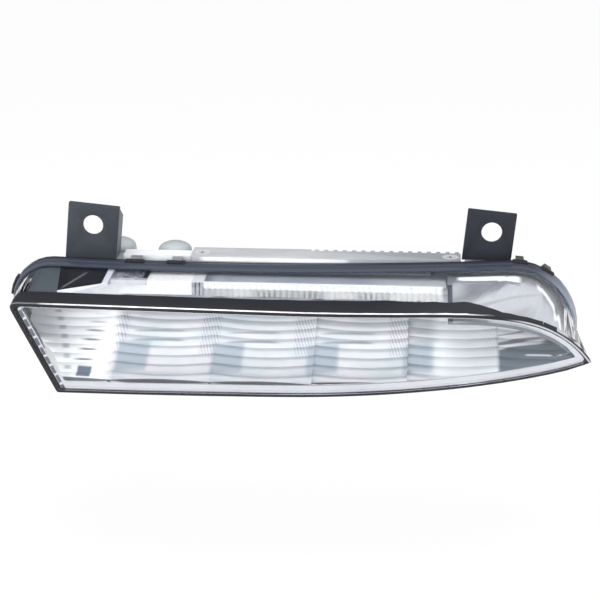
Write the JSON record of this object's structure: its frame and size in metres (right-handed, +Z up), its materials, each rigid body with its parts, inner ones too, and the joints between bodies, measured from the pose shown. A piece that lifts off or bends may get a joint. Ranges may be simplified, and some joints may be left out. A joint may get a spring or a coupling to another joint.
{
  "type": "daytime running light",
  "caption": "Bumper daytime running light: clear lens over a stepped chrome reflector, light-grey housing with an aluminium heat sink, and two steel straps to bolt it by.",
  "frame": {"origin": "midway between the two bracket holes, on the plane of the straps' front faces", "axes": "+X to the right seen from the front, along the lamp; +Y to the back; +Z up. The light leaves along -Y."},
  "size_m": [0.2566, 0.101, 0.072],
  "materials": {
    "clear_lens": "clear moulded polycarbonate",
    "black_border": "gloss black",
    "rim": "gloss blue-grey",
    "gasket": "black rubber",
    "clips": "dark spring steel",
    "bright_trim": "bright metallised",
    "reflector": "bright metallised",
    "fluted_shield": "bright metallised",
    "cover_strip": "gloss grey-blue",
    "dark_panel": "dark grey",
    "satin_panel": "satin metallised",
    "side_optic": "clear acrylic",
    "ledge": "bright metallised",
    "post": "bright metallised",
    "circuit_board": "white solder mask",
    "light_source": "yellow phosphor",
    "thermal_pad": "grey silicone",
    "housing": "light grey moulded",
    "driver_board": "green solder mask",
    "heat_sink": "as cast",
    "screws": "zinc plated",
    "vent_cap": "light grey",
    "connector": "black",
    "pins": "tinned brass",
    "strap_paint": "dark grey paint"
  },
  "bodies": {
    "root": {"outer_lens": "clear_lens", "front_frame": "black_border", "retaining_rim": "rim", "sealing_gasket": "gasket", "rim_clips": "clips", "bezel_trim": "bright_trim", "reflector": "reflector", "led_shield": "fluted_shield", "board_cover": "cover_strip", "end_panel_left": "dark_panel", "end_panel_right": "satin_panel", "side_optic": "side_optic", "optic_shelf": "ledge", "shield_post": "post", "led_board": "circuit_board", "led_1": "light_source", "led_2": "light_source", "led_3": "light_source", "led_4": "light_source", "led_5": "light_source", "thermal_pad": "thermal_pad", "housing": "housing", "driver_board": "driver_board", "heat_sink": "heat_sink", "heat_sink_screws": "screws", "vent_cap_1": "vent_cap", "vent_cap_2": "vent_cap", "connector_socket": "connector", "connector_pins": "pins", "bracket_left": "strap_paint", "bracket_right": "strap_paint", "bracket_screws": "screws"}
  },
  "joints": []
}
